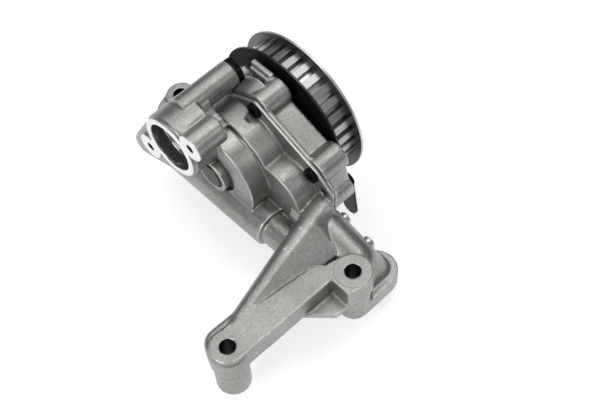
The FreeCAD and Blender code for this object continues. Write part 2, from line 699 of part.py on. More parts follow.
# Cover
lip = feature("cover_lip", hull_along_x(flange_circles, get("joint_x"), get("lip_front_x")))
wall = feature("cover_wall", hull_along_x(
    [(0.0, 0.0, get("cover_wall_radius")),
     (get("cover_crown_y"), get("cover_crown_z"), get("cover_crown_radius")),
     (get("screw_b_y"), get("screw_b_z") - 6, 6.0),
     (get("screw_c_y"), get("screw_c_z"), 5.0),
     (get("screw_d_y"), get("screw_d_z") + 8, 5.0)],
    get("lip_front_x") - 1, get("cover_front_x")))
dome_wires = []
for x, drop in ((get("joint_x"), get("dome_drop")), (get("dome_front_x"), 0.0)):
    dome_wires.append(hull_wire(
        [(get("dome_side_y") - drop / 2, get("dome_side_z") - drop, get("dome_radius")),
         (get("dome_y") - drop / 4, get("dome_z") - drop, get("dome_radius")),
         (get("dome_y") - 10.0, 10.0, get("dome_radius"))],
        lambda a, b, x=x: FreeCAD.Vector(x, a, b)))
cover_dome = feature("cover_dome", Part.makeLoft(dome_wires, True, True))
cover_parts = [lip, wall, cover_dome]
for index, (y, z) in enumerate(SCREWS, start=1):
    cover_parts.append(cylinder("cover_boss_%d" % index, "X", "screw_boss_radius",
                                "cover_front_x - joint_x", "joint_x", y, z))
cover_parts.append(block("lug_low", "cover_front_x - lug_length", "lug_y - lug_width / 2", "lug_base_z",
                         "lug_length", "lug_width", "lug_top_z - lug_step - lug_base_z"))
cover_parts.append(block("lug_high", "cover_front_x - lug_length + lug_step", "lug_y - lug_width / 2",
                         "lug_base_z", "lug_length - lug_step", "lug_width", "lug_top_z - lug_base_z"))
cover_solid = fuse("cover_solid", *cover_parts)
cover_bores = [
    cylinder("cover_bush_bore", "X", "shaft_radius + running_gap + bush_wall",
             "cover_front_x - joint_x + 2", "joint_x - 1", 0, 0),
    cylinder("valve_notch", "X", "valve_wall_radius + screw_gap", "cover_front_x - joint_x + 2",
             "joint_x - 1", "valve_y", "valve_z"),
]
for index, (y, z) in enumerate(SCREWS, start=1):
    if index == 3:
        cover_bores.append(cylinder("cover_screw_hole_3", "X", "screw_radius + screw_gap",
                                    "cover_front_x - joint_x + 2", "joint_x - 1", y, z))
        continue
    cover_bores.append(cylinder("cover_thread_%d" % index, "X", "screw_radius", "screw_engagement + 1",
                                "joint_x - 1", y, z))
for index, (y, z) in enumerate([("dowel_a_y", "dowel_a_z"), ("dowel_b_y", "dowel_b_z")], start=1):
    cover_bores.append(cylinder("cover_dowel_hole_%d" % index, "X", "dowel_radius",
                                "dowel_length + dowel_inset - joint_x + flange_rear_x + 1.5", "joint_x - 1",
                                y, z))
cover = place(cut("cover", cover_solid, *cover_bores), "front_cover")

# Shaft with its nose for the belt wheel and the thread for the bolt
shaft_blank = turned("shaft_blank", [
    ("shaft_rear_x", "0"), ("shaft_rear_x", "shaft_radius - 1"), ("shaft_rear_x + 1", "shaft_radius"),
    ("hub_rear_x", "shaft_radius"), ("hub_rear_x", "nose_radius"), ("nose_front_x", "nose_radius"),
    ("nose_front_x", "bolt_radius"), ("nose_front_x - bolt_depth", "bolt_radius"),
    ("nose_front_x - bolt_depth", "0")])
rotor_key_slot = cylinder("rotor_key_slot", "X", "key_radius", "rotor_length",
                          "joint_x - rotor_side_gap - rotor_length", "shaft_radius", 0)
shaft = place(cut("shaft", shaft_blank, rotor_key_slot), "drive_shaft")
rotor_key = place(cylinder("rotor_key_pin", "X", "key_radius", "rotor_length",
                           "joint_x - rotor_side_gap - rotor_length", "shaft_radius", 0), "rotor_key")


def ring(name, outer, inner, length, x):
    """A plain ring about the shaft."""
    return turned(name, [(x, inner), (x, outer), ("%s + %s" % (x, length), outer),
                         ("%s + %s" % (x, length), inner)])


rear_bush = place(ring("rear_bush_ring", "shaft_radius + running_gap + bush_wall",
                       "shaft_radius + running_gap",
                       "joint_x - rotor_length - 2 * rotor_side_gap - boss_rear_x - boss_lip - bush_inset",
                       "boss_rear_x + boss_lip"), "rear_bush")
front_bush = place(ring("front_bush_ring", "shaft_radius + running_gap + bush_wall",
                        "shaft_radius + running_gap", "cover_front_x - joint_x - 2 * bush_inset",
                        "joint_x + bush_inset"), "front_bush")

# Rotors: seven round lobes in the ring, and the wheel that their centres trace
lobes = 7
teeth = lobes - 1
trace_radius = get("lobe_circle_radius")
offset = get("rotor_offset")
inset = get("rotor_lobe_radius") + get("rotor_mesh_gap")
rotor_start = get("joint_x") - get("rotor_side_gap") - get("rotor_length")
points = []
steps = teeth * 14
for step in range(steps):
    angle = 2 * math.pi * step / steps
    a = trace_radius * math.cos(angle) + offset * math.cos(lobes * angle)
    b = trace_radius * math.sin(angle) + offset * math.sin(lobes * angle)
    da = -trace_radius * math.sin(angle) - offset * lobes * math.sin(lobes * angle)
    db = trace_radius * math.cos(angle) + offset * lobes * math.cos(lobes * angle)
    size = math.hypot(da, db)
    points.append(FreeCAD.Vector(rotor_start, -(a - inset * db / size), b + inset * da / size))
curve = Part.BSplineCurve()
curve.interpolate(Points=points, PeriodicFlag=True)
wheel_face = Part.Face(Part.Wire([curve.toShape()]))
wheel_solid = feature("inner_rotor_blank", wheel_face.extrude(FreeCAD.Vector(get("rotor_length"), 0, 0)))
inner_rotor = place(cut(
    "inner_rotor_cut", wheel_solid,
    cylinder("inner_rotor_bore", "X", "shaft_radius", "rotor_length + 2",
             "joint_x - rotor_side_gap - rotor_length - 1", 0, 0),
    cylinder("inner_key_slot", "X", "key_radius", "rotor_length + 2",
             "joint_x - rotor_side_gap - rotor_length - 1", "shaft_radius", 0)), "inner_rotor")

ring_x = "joint_x - rotor_side_gap - rotor_length"
root = cylinder("outer_rotor_root", "X", "rotor_root_radius", "rotor_length + 2", ring_x + " - 1",
                "-rotor_offset", 0)
lobe_pins = []
for index in range(lobes):
    turn = 180 + 360 * index / lobes
    lobe_pins.append(cylinder("rotor_lobe_%d" % index, "X", "rotor_lobe_radius", "rotor_length + 4",
                              ring_x + " - 2",
                              "-rotor_offset + lobe_circle_radius * cos(%.9f deg)" % turn,
                              "lobe_circle_radius * sin(%.9f deg)" % turn))
rotor_window = cut("rotor_window", root, *lobe_pins)
outer_blank = cylinder("outer_rotor_blank", "X", "outer_rotor_radius", "rotor_length", ring_x,
                       "-rotor_offset", 0)
outer_rotor = place(cut("outer_rotor_cut", outer_blank, rotor_window), "outer_rotor")

# Belt wheel: trapezoidal teeth cut round the rim by a polar pattern of the tooth space
count = int(get("tooth_count"))
crest_radius = get("tooth_pitch") * count / (2 * math.pi) - get("belt_pitch_offset")
root_radius = crest_radius - get("tooth_depth")
outline = []
for index in range(count):
    middle = 2 * math.pi * index / count
    for share, radius in ((-0.27, crest_radius), (0.27, crest_radius), (0.36, root_radius),
                          (0.64, root_radius)):
        angle = middle + share * 2 * math.pi / count
        outline.append(FreeCAD.Vector(get("wheel_rear_x"), radius * math.cos(angle), radius * math.sin(angle)))
outline.append(outline[0])
toothed = Part.Face(Part.makePolygon(outline)).extrude(FreeCAD.Vector(get("wheel_width"), 0, 0))
toothed_rim = feature("toothed_rim", toothed)
rim_hollow = cylinder("rim_hollow", "X", "wheel_rim_radius", "wheel_width + 2", "wheel_rear_x - 1", 0, 0)
rim_ring = cut("rim_ring", toothed_rim, rim_hollow)
wheel_web = cylinder("wheel_web_disc", "X", "wheel_rim_radius + 1", "wheel_web", "wheel_web_x", 0, 0)
wheel_hub = cylinder("wheel_hub", "X", "wheel_hub_radius", "nose_front_x - hub_rear_x", "hub_rear_x", 0, 0)
wheel_blank = fuse("wheel_solid", rim_ring, wheel_web, wheel_hub)
pulley_wheel = place(cut(
    "pulley_wheel_cut", wheel_blank,
    cylinder("wheel_bore", "X", "nose_radius", "nose_front_x - hub_rear_x + 2", "hub_rear_x - 1", 0, 0)),
    "pulley_wheel")
rear_flange = place(ring("rear_flange_ring", "belt_flange_radius", "wheel_hub_radius",
                         "belt_flange_sheet", "wheel_rear_x - belt_flange_sheet"), "pulley_rear_flange")
front_flange = place(ring("front_flange_ring", "belt_flange_radius", "wheel_rim_radius",
                          "belt_flange_sheet", "wheel_rear_x + wheel_width"), "pulley_front_flange")
washer = place(ring("washer_ring", "washer_radius", "bolt_radius", "washer_length", "nose_front_x"),
               "pulley_washer")
bolt_head = doc.addObject("Part::Prism", "bolt_head")
bolt_head.Polygon = 6
bolt_head.Placement = FreeCAD.Placement(FreeCAD.Vector(), TURN["X"])
bind(bolt_head, "Circumradius", "bolt_head_flats / 2 / cos(30 deg)")
bind(bolt_head, "Height", "bolt_head_length")
bind(bolt_head, "Placement.Base.x", "nose_front_x + washer_length")
bolt_shank = cylinder("bolt_shank", "X", "bolt_radius", "bolt_depth + washer_length - 1",
                      "nose_front_x - bolt_depth + 1", 0, 0)
pulley_bolt = place(fuse("bolt", bolt_head, bolt_shank), "pulley_bolt")

# Cover screws with their sockets
for index, (y, z) in enumerate(SCREWS, start=1):
    if index == 3:
        seat_x = "cover_front_x + tab_sheet"
        blank = turned("screw_%d" % index, [
            (seat_x + " + screw_head_length", "0"),
            (seat_x + " + screw_head_length", "screw_head_radius"), (seat_x, "screw_head_radius"),
            (seat_x, "screw_radius"), ("joint_x - screw_engagement + 1", "screw_radius"),
            ("joint_x - screw_engagement + 1", "0")], y, z)
        socket_x = seat_x + " + screw_head_length - screw_socket_depth"
    else:
        blank = turned("screw_%d" % index, [
            ("flange_rear_x - screw_head_length", "0"),
            ("flange_rear_x - screw_head_length", "screw_head_radius"),
            ("flange_rear_x", "screw_head_radius"), ("flange_rear_x", "screw_radius"),
            ("joint_x + screw_engagement - 1", "screw_radius"),
            ("joint_x + screw_engagement - 1", "0")], y, z)
        socket_x = "flange_rear_x - screw_head_length - 1"
    hexagon = doc.addObject("Part::Prism", "socket_%d" % index)
    hexagon.Polygon = 6
    hexagon.Placement = FreeCAD.Placement(FreeCAD.Vector(), TURN["X"])
    bind(hexagon, "Circumradius", "screw_socket_radius")
    bind(hexagon, "Height", "screw_socket_depth + 1")
    bind(hexagon, "Placement.Base.x", socket_x)
    bind(hexagon, "Placement.Base.y", y)
    bind(hexagon, "Placement.Base.z", z)
    place(cut("screw_cut_%d" % index, blank, hexagon), "cover_screw_%d" % index)

# Dowels
for index, (y, z) in enumerate([("dowel_a_y", "dowel_a_z"), ("dowel_b_y", "dowel_b_z")], start=1):
    place(cylinder("dowel_pin_%d" % index, "X", "dowel_radius", "dowel_length", "flange_rear_x + dowel_inset",
                   y, z), "dowel_%d" % index)

# Relief valve: piston, spring, plug and sealing ring
piston_x = "valve_floor_x + piston_rest_gap"
piston = place(turned("piston_turned", [
    (piston_x, "0"), (piston_x, "valve_bore_radius - piston_gap"),
    (piston_x + " + piston_length", "valve_bore_radius - piston_gap"),
    (piston_x + " + piston_length", "valve_bore_radius - piston_gap - piston_wall"),
    (piston_x + " + piston_crown", "valve_bore_radius - piston_gap - piston_wall"),
    (piston_x + " + piston_crown", "0")], "valve_y", "valve_z"), "relief_piston")
plug_tip_x = "valve_front_x + seal_length - plug_thread_length"
plug_blank = turned("plug_turned", [
    (plug_tip_x, "0"), (plug_tip_x, "valve_bore_radius"),
    ("valve_front_x + seal_length", "valve_bore_radius"),
    ("valve_front_x + seal_length", "valve_wall_radius - 0.4"),
    ("valve_front_x + seal_length + plug_head_length", "valve_wall_radius - 0.4"),
    ("valve_front_x + seal_length + plug_head_length", "0")], "valve_y", "valve_z")
plug_socket = doc.addObject("Part::Prism", "plug_socket")
plug_socket.Polygon = 6
plug_socket.Placement = FreeCAD.Placement(FreeCAD.Vector(), TURN["X"])
bind(plug_socket, "Circumradius", "plug_socket_radius")
bind(plug_socket, "Height", "plug_thread_length")
bind(plug_socket, "Placement.Base.x", "valve_front_x + seal_length + plug_head_length - 4")
bind(plug_socket, "Placement.Base.y", "valve_y")
bind(plug_socket, "Placement.Base.z", "valve_z")
relief_plug = place(cut("relief_plug_cut", plug_blank, plug_socket), "relief_plug")
relief_seal = place(turned("seal_turned", [
    ("valve_front_x", "valve_bore_radius"), ("valve_front_x", "valve_wall_radius - 0.8"),
    ("valve_front_x + seal_length", "valve_wall_radius - 0.8"),
    ("valve_front_x + seal_length", "valve_bore_radius")], "valve_y", "valve_z"), "relief_seal")

spring_start = get("valve_floor_x") + get("piston_rest_gap") + get("piston_crown")
spring_end = get("valve_front_x") + get("seal_length") - get("plug_thread_length")
wire_radius = get("spring_wire") / 2
coil_radius = get("valve_bore_radius") - get("piston_gap") - get("piston_wall") - wire_radius - 0.25
coil_length = spring_end - spring_start - 2 * wire_radius - 0.02
helix = Part.makeHelix(coil_length / get("spring_turns"), coil_length, coil_radius)
section = Part.Wire([Part.Circle(FreeCAD.Vector(coil_radius, 0, 0), FreeCAD.Vector(0, 1, 0),
                                 wire_radius).toShape()])
coil = Part.Wire(helix.Edges).makePipeShell([section], True, True)
spring = feature("relief_spring_coil", coil)
spring.Placement = FreeCAD.Placement(
    FreeCAD.Vector(spring_start + wire_radius + 0.01, get("valve_y"), get("valve_z")), TURN["X"])
place(spring, "relief_spring")

# Plugs of the duct and the gallery tube
for index, y in enumerate(("duct_plug_a_y", "duct_plug_b_y"), start=1):
    end_x = "duct_plug_x + duct_plug_length"
    place(turned("duct_plug_%d" % index, [
        ("duct_plug_x", "0"), ("duct_plug_x", "duct_plug_radius"), (end_x + " - 0.8", "duct_plug_radius"),
        (end_x, "duct_plug_radius - 0.8"), (end_x, "0")], y, "duct_plug_z"), "gallery_plug_%d" % index)
tube_plug = place(cylinder("tube_plug_disc", "Y", "tube_bore_radius", "tube_plug_depth", "tube_x",
                           "tube_far_y - tube_plug_depth - 0.5", "tube_z"), "tube_plug")

# Belt guard tab under the head of screw 3
tab_sheet = feature("tab_blank", hull_along_x(
    [(get("screw_c_y"), get("screw_c_z"), get("tab_radius") + 1.5),
     (get("tab_end_y"), get("tab_end_z"), get("tab_radius"))],
    get("cover_front_x"), get("cover_front_x") + get("tab_sheet")))
tab_hole = cylinder("tab_hole", "X", "screw_radius + screw_gap", "tab_sheet + 2", "cover_front_x - 1",
                    "screw_c_y", "screw_c_z")
place(cut("tab_cut", tab_sheet, tab_hole), "belt_guard_tab")

NODES = ["pump_housing", "front_cover", "drive_shaft", "rear_bush", "front_bush", "inner_rotor",
         "outer_rotor", "rotor_key", "pulley_wheel", "pulley_rear_flange", "pulley_front_flange",
         "pulley_washer", "pulley_bolt", "cover_screw_1", "cover_screw_2", "cover_screw_3",
         "cover_screw_4", "cover_screw_5", "dowel_1", "dowel_2", "relief_piston", "relief_spring",
         "relief_plug", "relief_seal", "gallery_plug_1", "gallery_plug_2", "tube_plug",
         "belt_guard_tab"]

doc.recompute()

for obj in doc.Objects:
    if "Invalid" in obj.State or "Error" in obj.State:
        raise RuntimeError("%s failed: %s" % (obj.Label, obj.State))

os.makedirs("parts", exist_ok=True)
for name in NODES:
    obj = [item for item in doc.Objects if item.Label == name][0]
    shape = obj.Shape
    if shape.isNull() or not shape.isValid() or len(shape.Solids) != 1:
        raise RuntimeError("%s is not one valid solid: %d" % (name, len(shape.Solids)))
    shape.exportStep("parts/%s.step" % name)
    print("%-22s %8.2f cm3" % (name, shape.Volume / 1000), shape.BoundBox)
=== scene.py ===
import json
import math

import bmesh
import bpy
from mathutils import Matrix, Vector


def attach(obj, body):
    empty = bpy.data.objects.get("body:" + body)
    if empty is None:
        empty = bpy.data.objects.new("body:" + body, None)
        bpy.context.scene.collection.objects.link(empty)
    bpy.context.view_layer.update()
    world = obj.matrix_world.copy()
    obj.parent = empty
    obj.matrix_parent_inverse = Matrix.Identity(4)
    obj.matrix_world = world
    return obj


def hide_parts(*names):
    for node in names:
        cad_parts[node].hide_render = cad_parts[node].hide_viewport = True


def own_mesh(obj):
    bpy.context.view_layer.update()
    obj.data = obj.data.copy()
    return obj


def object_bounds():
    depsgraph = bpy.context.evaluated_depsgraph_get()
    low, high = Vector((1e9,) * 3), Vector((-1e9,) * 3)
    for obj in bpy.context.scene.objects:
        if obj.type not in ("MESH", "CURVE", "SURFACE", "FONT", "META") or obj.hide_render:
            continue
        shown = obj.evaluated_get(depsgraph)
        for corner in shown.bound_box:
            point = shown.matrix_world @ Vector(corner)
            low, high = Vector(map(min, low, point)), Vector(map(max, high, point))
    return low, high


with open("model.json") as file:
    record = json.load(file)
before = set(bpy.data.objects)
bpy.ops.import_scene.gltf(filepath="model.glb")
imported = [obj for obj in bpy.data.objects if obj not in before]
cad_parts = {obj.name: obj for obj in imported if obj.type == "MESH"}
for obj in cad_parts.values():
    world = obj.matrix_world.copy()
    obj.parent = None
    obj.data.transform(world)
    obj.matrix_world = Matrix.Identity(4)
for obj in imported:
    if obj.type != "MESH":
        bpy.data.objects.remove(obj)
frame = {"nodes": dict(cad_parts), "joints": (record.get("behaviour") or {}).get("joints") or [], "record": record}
cad_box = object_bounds()

# Camera of the photograph: place, axes (right, down, forward) and focal length
CAMERA_AT = Vector((-0.14955, -0.24244, 0.59516))
CAMERA_RIGHT = Vector((0.714799, -0.697713, -0.047524))
CAMERA_DOWN = Vector((-0.604290, -0.582025, -0.544133))
CAMERA_FORWARD = Vector((0.351989, 0.417664, -0.837652))
LENS_MM = 75.71
SENSOR_MM = 36.0

# Middle of the part and height of the floor, in metres like every place and size below
FLOOR_GAP = 0.0005
CENTRE = (cad_box[0] + cad_box[1]) / 2
FLOOR_Z = cad_box[0].z - FLOOR_GAP

# Places from the frame: foot holes as (x, y), what runs along x as (y, z)
MOUNTS = {mount["name"]: mount["pos_m"] for mount in frame["record"]["mounts"]}
JOINTS = {joint["name"]: joint for joint in frame["joints"]}
FOOT_HOLES = [MOUNTS["mounting_hole_%d" % number][:2] for number in (1, 2, 3)]
PORT_FACE_X = MOUNTS["outlet_port"][0]
PORT_CENTRE = MOUNTS["outlet_port"][1:]
SHAFT_CENTRE = JOINTS["shaft_spin"]["pos_m"][1:]

# The screw holes in the two ears of the port, as (y, z)
EAR_HOLES = ((0.07707, 0.07876), (0.11533, 0.04384))


# Shader node helpers; nearly all of a noise lies between these two levels
NOISE_LOW = 0.3
NOISE_HIGH = 0.7


def new_material(name):
    """A material with one principled shader, its node tree and that shader."""
    mat = bpy.data.materials.new(name)
    mat.use_nodes = True
    tree = mat.node_tree
    tree.nodes.clear()
    out = tree.nodes.new("ShaderNodeOutputMaterial")
    shader = tree.nodes.new("ShaderNodeBsdfPrincipled")
    tree.links.new(shader.outputs["BSDF"], out.inputs["Surface"])
    return mat, tree, shader


def grey(level):
    """A neutral colour."""
    return (level, level, level)


def noise(tree, scale, detail=3.0, roughness=0.5, stretch=(1.0, 1.0, 1.0)):
    """A noise texture fixed to the part's own coordinates."""
    coords = tree.nodes.new("ShaderNodeTexCoord")
    mapping = tree.nodes.new("ShaderNodeMapping")
    mapping.inputs["Scale"].default_value = stretch
    texture = tree.nodes.new("ShaderNodeTexNoise")
    texture.inputs["Scale"].default_value = scale
    texture.inputs["Detail"].default_value = detail
    texture.inputs["Roughness"].default_value = roughness
    tree.links.new(coords.outputs["Object"], mapping.inputs["Vector"])
    tree.links.new(mapping.outputs["Vector"], texture.inputs["Vector"])
    return texture.outputs["Fac"]


def ramp(tree, source, stops):
    """A colour ramp over source between two stops, each a (position, colour)."""
    node = tree.nodes.new("ShaderNodeValToRGB")
    for element, (position, colour) in zip(node.color_ramp.elements, stops):
        element.position = position
        element.color = (*colour, 1.0)
    tree.links.new(source, node.inputs["Fac"])
    return node.outputs["Color"]


def remap(tree, source, low, high):
    """The levels of a noise, spread from low to high."""
    node = tree.nodes.new("ShaderNodeMapRange")
    node.inputs["From Min"].default_value = NOISE_LOW
    node.inputs["From Max"].default_value = NOISE_HIGH
    node.inputs["To Min"].default_value = low
    node.inputs["To Max"].default_value = high
    tree.links.new(source, node.inputs["Value"])
    return node.outputs["Result"]


def bump(tree, heights, round_edge=0.0):
    """Stacked bumps from (source, distance) pairs over an optional rounded edge."""
    normal = None
    if round_edge:
        bevel = tree.nodes.new("ShaderNodeBevel")
        bevel.samples = 6
        bevel.inputs["Radius"].default_value = round_edge
        normal = bevel.outputs["Normal"]
    for source, distance in heights:
        node = tree.nodes.new("ShaderNodeBump")
        node.inputs["Strength"].default_value = 1.0
        node.inputs["Distance"].default_value = distance
        tree.links.new(source, node.inputs["Height"])
        if normal is not None:
            tree.links.new(normal, node.inputs["Normal"])
        normal = node.outputs["Normal"]
    return normal


def mix_colour(tree, factor, first, second, blend="MIX"):
    """First blended towards second; each argument is a socket or a plain value."""
    node = tree.nodes.new("ShaderNodeMix")
    node.data_type = "RGBA"
    node.blend_type = blend
    for source, socket in ((factor, node.inputs[0]), (first, node.inputs[6]), (second, node.inputs[7])):
        if isinstance(source, bpy.types.NodeSocket):
            tree.links.new(source, socket)
        elif isinstance(source, tuple):
            socket.default_value = (*source, 1.0)
        else:
            socket.default_value = source
    return node.outputs[2]


def math_node(tree, operation, first, second=0.0):
    """One step of arithmetic; each argument is a socket or a plain value."""
    node = tree.nodes.new("ShaderNodeMath")
    node.operation = operation
    for source, socket in ((first, node.inputs[0]), (second, node.inputs[1])):
        if isinstance(source, bpy.types.NodeSocket):
            tree.links.new(source, socket)
        else:
            socket.default_value = source
    return node.outputs[0]


def below(tree, value, limit):
    """A mask that is 1 where value is under limit."""
    return math_node(tree, "LESS_THAN", value, limit)


def above(tree, value, limit):
    """A mask that is 1 where value is over limit."""
    return math_node(tree, "GREATER_THAN", value, limit)


def all_of(tree, first, *others):
    """A mask that is 1 where every given mask is."""
    mask = first
    for other in others:
        mask = math_node(tree, "MULTIPLY", mask, other)
    return mask


def place_axes(tree):
    """The x, y and z of the point on the part, in metres."""
    coords = tree.nodes.new("ShaderNodeTexCoord")
    split = tree.nodes.new("ShaderNodeSeparateXYZ")
    tree.links.new(coords.outputs["Object"], split.inputs["Vector"])
    return split.outputs["X"], split.outputs["Y"], split.outputs["Z"]


def distance_from(tree, first, second, centre):
    """Distance from an axis that runs through centre, in the plane of the two coordinates."""
    a = math_node(tree, "SUBTRACT", first, centre[0])
    b = math_node(tree, "SUBTRACT", second, centre[1])
    square = math_node(tree, "ADD", math_node(tree, "MULTIPLY", a, a), math_node(tree, "MULTIPLY", b, b))
    return math_node(tree, "SQRT", square)


# Machined port: the side up to just behind its face, and the bore, shaded a little past its wall
PORT_SIDE_Y = 0.05
PORT_SIDE_DEPTH = 0.0004
PORT_LIP = 0.0002
PORT_BORE_RADIUS = 0.0149
PORT_BORE_END = 0.0685
PORT_SIDE_COLOUR = (0.90, 0.91, 0.93)
PORT_BORE_COLOUR = (0.30, 0.30, 0.31)
PORT_SIDE_LESS_METALLIC = 0.45
PORT_BORE_LESS_ROUGH = 0.2

# Drilled holes, darkened with painted shade a little past their walls, and the line round the second foot's spot
# face
FOOT_HOLE_RADIUS = 0.0043
FOOT_HOLE_SHADE = (0.035, 0.034, 0.033)
EAR_HOLE_RADIUS = 0.00256
EAR_HOLE_END = 0.058
EAR_HOLE_SHADE = grey(0.05)
SPOT_FACE_RADIUS = 0.0099
SPOT_FACE_LINE = 0.0002
SPOT_FACE_LOW = 0.0364
SPOT_FACE_STRENGTH = 0.6
SPOT_FACE_COLOUR = (0.12, 0.115, 0.11)

# Cast surface; the hollow colour is painted shade in creases, and the rubbed colour is rubbed wear and painted
# highlight at edges
CAST_DARK = (0.31, 0.305, 0.293)
CAST_LIGHT = (0.47, 0.464, 0.45)
HOLLOW_SHADE_COLOUR = (0.32, 0.31, 0.295)
RUBBED_AND_HIGHLIGHT_COLOUR = (0.80, 0.80, 0.79)
CAST_METALLIC = 0.85
CAST_ROUGHNESS = (0.31, 0.45)
GRAIN_HEIGHT = 0.00007
WAVE_HEIGHT = 0.00008

# Belt flanges: the ring at their rims, lighter there as a painted highlight, and the x behind which dark steel is
# the guard tab's sheet
RIM_INNER = 0.0453
RIM_OUTER = 0.0457
RIM_METALLIC = 0.9
SHEET_FRONT_X = 0.120

# Streaks and edges of machined metal
STREAK_SCALE = 700.0
STREAK_SHADE = 0.86
ROUND_EDGE = 0.0003


# Materials
def cast_colour(tree):
    """Mottled, speckled aluminium, darker in its hollows as painted shade, and lighter at its edges as rubbed wear
    and painted highlight.
    """
    mottle = noise(tree, scale=30.0, detail=3.0, roughness=0.55)
    colour = ramp(tree, mottle, [(0.3, CAST_DARK), (0.72, CAST_LIGHT)])
    speck = noise(tree, scale=1500.0, detail=2.0, roughness=0.7)
    speck = ramp(tree, speck, [(0.30, grey(0.52)), (0.64, grey(1.0))])
    colour = mix_colour(tree, 1.0, colour, speck, "MULTIPLY")
    pointiness = tree.nodes.new("ShaderNodeNewGeometry").outputs["Pointiness"]
    # Painted shade: darker where the surface is hollow
    hollow_shade = ramp(tree, pointiness, [(0.43, HOLLOW_SHADE_COLOUR), (0.492, grey(1.0))])
    colour = mix_colour(tree, 1.0, colour, hollow_shade, "MULTIPLY")
    # Lighter edges: partly rubbed wear, partly painted highlight
    edge = ramp(tree, pointiness, [(0.512, grey(0.0)), (0.55, grey(0.5))])
    return mix_colour(tree, edge, colour, RUBBED_AND_HIGHLIGHT_COLOUR)


def port_masks(tree):
    """Masks of the port's machined side and of the inside of its bore."""
    x, y, z = place_axes(tree)
    on_side = all_of(tree, below(tree, x, PORT_FACE_X + PORT_SIDE_DEPTH), above(tree, y, PORT_SIDE_Y))
    from_port = distance_from(tree, y, z, PORT_CENTRE)
    in_bore = all_of(tree, below(tree, from_port, PORT_BORE_RADIUS), below(tree, x, PORT_BORE_END),
                     above(tree, x, PORT_FACE_X + PORT_LIP))
    return on_side, in_bore


def hole_shade_and_spot_face(tree, colour):
    """The colour with painted shade in the foot and ear holes, and the line round the spot face."""
    x, y, z = place_axes(tree)
    # Painted shade inside the foot and ear holes
    for centre in FOOT_HOLES:
        in_hole = below(tree, distance_from(tree, x, y, centre), FOOT_HOLE_RADIUS)
        colour = mix_colour(tree, in_hole, colour, FOOT_HOLE_SHADE)
    for centre in EAR_HOLES:
        in_hole = below(tree, distance_from(tree, y, z, centre), EAR_HOLE_RADIUS)
        in_hole = all_of(tree, in_hole, below(tree, x, EAR_HOLE_END))
        colour = mix_colour(tree, in_hole, colour, EAR_HOLE_SHADE)
    from_edge = math_node(tree, "SUBTRACT", distance_from(tree, x, y, FOOT_HOLES[1]), SPOT_FACE_RADIUS)
    on_line = below(tree, math_node(tree, "ABSOLUTE", from_edge), SPOT_FACE_LINE)
    on_line = all_of(tree, on_line, above(tree, z, SPOT_FACE_LOW))
    on_line = math_node(tree, "MULTIPLY", on_line, SPOT_FACE_STRENGTH)
    return mix_colour(tree, on_line, colour, SPOT_FACE_COLOUR)


def cast_metal(name):
    """Sand-cast aluminium with fine grain, its machined port and painted shade in its drilled holes."""
    mat, tree, shader = new_material(name)
    on_side, in_bore = port_masks(tree)
    colour = mix_colour(tree, on_side, cast_colour(tree), PORT_SIDE_COLOUR)
    colour = mix_colour(tree, in_bore, colour, PORT_BORE_COLOUR)
    tree.links.new(hole_shade_and_spot_face(tree, colour), shader.inputs["Base Color"])
    rough = remap(tree, noise(tree, scale=420.0), *CAST_ROUGHNESS)
    less = math_node(tree, "MULTIPLY", in_bore, PORT_BORE_LESS_ROUGH)
    tree.links.new(math_node(tree, "SUBTRACT", rough, less), shader.inputs["Roughness"])
    less = math_node(tree, "MULTIPLY", on_side, PORT_SIDE_LESS_METALLIC)
    tree.links.new(math_node(tree, "SUBTRACT", CAST_METALLIC, less), shader.inputs["Metallic"])
    as_cast = math_node(tree, "SUBTRACT", 1.0, math_node(tree, "MAXIMUM", on_side, in_bore))
    grain = math_node(tree, "MULTIPLY", noise(tree, scale=1800.0, roughness=0.6), as_cast)
    waves = math_node(tree, "MULTIPLY", noise(tree, scale=160.0, detail=2.0), as_cast)
    normal = bump(tree, [(grain, GRAIN_HEIGHT), (waves, WAVE_HEIGHT)])
    tree.links.new(normal, shader.inputs["Normal"])
    return mat


def smooth_metal(name, colour, roughness, metallic=1.0, stretch=(1.0, 1.0, 1.0), spread=0.06,
                 depth=0.000006, specular=0.5, rim_highlight=None, sheet=None):
    """Machined or ground metal with faint streaks.

    The colour given for the belt flanges' rims is painted there as a highlight; sheet is the colour of what lies
    behind the front one.
    """
    mat, tree, shader = new_material(name)
    streak = noise(tree, STREAK_SCALE, roughness=0.6, stretch=stretch)
    darker = tuple(channel * STREAK_SHADE for channel in colour)
    shade = ramp(tree, streak, [(NOISE_LOW, darker), (NOISE_HIGH, colour)])
    if sheet:
        shade = mix_colour(tree, below(tree, place_axes(tree)[0], SHEET_FRONT_X), shade, sheet)
    # A lighter ring at the flange rims: a painted highlight
    if rim_highlight:
        from_shaft = distance_from(tree, *place_axes(tree)[1:], SHAFT_CENTRE)
        on_rim_highlight = all_of(tree, above(tree, from_shaft, RIM_INNER), below(tree, from_shaft, RIM_OUTER))
        shade = mix_colour(tree, on_rim_highlight, shade, rim_highlight)
        more = math_node(tree, "MULTIPLY", on_rim_highlight, RIM_METALLIC - metallic)
        tree.links.new(math_node(tree, "ADD", more, metallic), shader.inputs["Metallic"])
    else:
        shader.inputs["Metallic"].default_value = metallic
    tree.links.new(shade, shader.inputs["Base Color"])
    shader.inputs["Specular IOR Level"].default_value = specular
    tree.links.new(remap(tree, streak, roughness - spread, roughness + spread), shader.inputs["Roughness"])
    tree.links.new(bump(tree, [(streak, depth)], ROUND_EDGE), shader.inputs["Normal"])
    return mat


